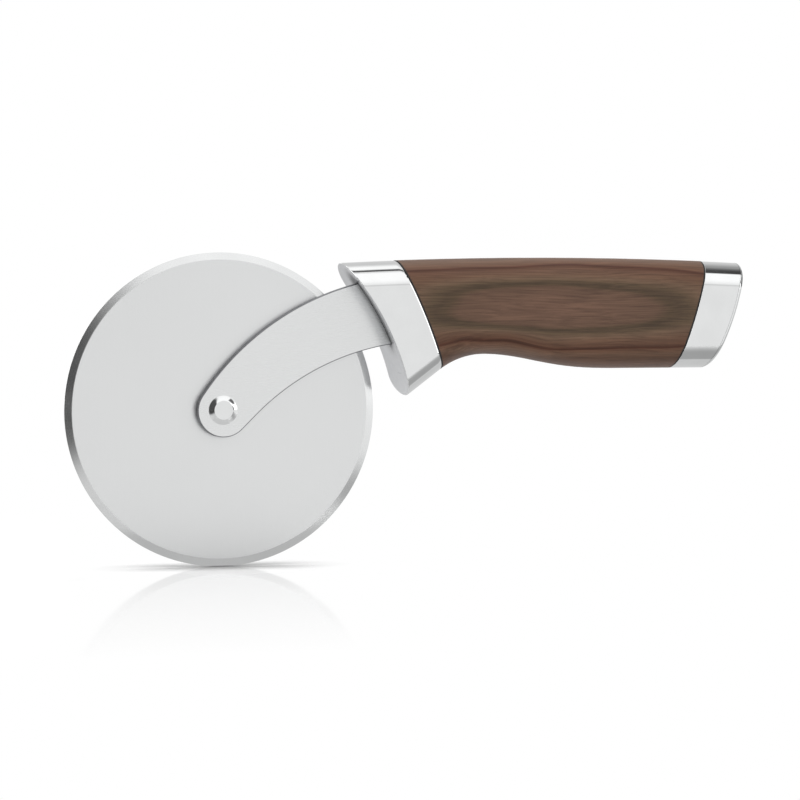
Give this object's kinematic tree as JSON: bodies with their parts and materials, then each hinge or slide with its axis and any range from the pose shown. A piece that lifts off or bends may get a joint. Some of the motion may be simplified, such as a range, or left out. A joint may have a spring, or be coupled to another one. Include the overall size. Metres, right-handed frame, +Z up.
{
  "type": "pizza cutter wheel",
  "caption": "Hand-held pizza cutter: a round blade turns on an axle at the end of a curved flat arm, with a wooden grip between a steel bolster and an end cap.",
  "frame": {"origin": "middle of the wooden grip, on the tie rod's line and in the handle's middle plane", "axes": "+X along the handle towards the end cap, +Y along the blade's axle from the arm towards the blade, +Z up"},
  "size_m": [0.2234, 0.0234, 0.1],
  "materials": {
    "blade_steel": "stainless steel sheet, fine satin faces, ground bevel",
    "arm_steel": "stainless steel strap, fine satin",
    "polished_steel": "cast stainless steel, polished",
    "rivet_steel": "stainless steel, polished heads",
    "spring_steel": "tempered spring steel",
    "fastener_steel": "bright zinc-plated steel",
    "bushing_bronze": "sintered bronze",
    "washer_nylon": "natural nylon",
    "liner_fibre": "black vulcanised fibre",
    "walnut": "walnut, fine sanded and oiled"
  },
  "bodies": {
    "handle": {"axle_pin": "rivet_steel", "axle_cap": "rivet_steel", "front_washer": "washer_nylon", "rear_washer": "washer_nylon", "spring_washer": "spring_steel", "arm": "arm_steel", "bolster": "polished_steel", "front_liner": "liner_fibre", "wood_grip": "walnut", "rod_coupler": "fastener_steel", "coupler_pins": "fastener_steel", "tie_rod": "fastener_steel", "tie_washer": "fastener_steel", "lock_washer": "fastener_steel", "tie_nut": "fastener_steel", "rear_liner": "liner_fibre", "end_cap": "polished_steel", "end_plate": "polished_steel"},
    "wheel": {"blade": "blade_steel", "blade_bushing": "bushing_bronze"}
  },
  "joints": [
    {"name": "blade_spin", "type": "hinge", "parent": "handle", "child": "wheel", "pos_m": [-0.108, 0.00285, -0.03134], "axis": [0, 1, 0], "continuous": true}
  ]
}
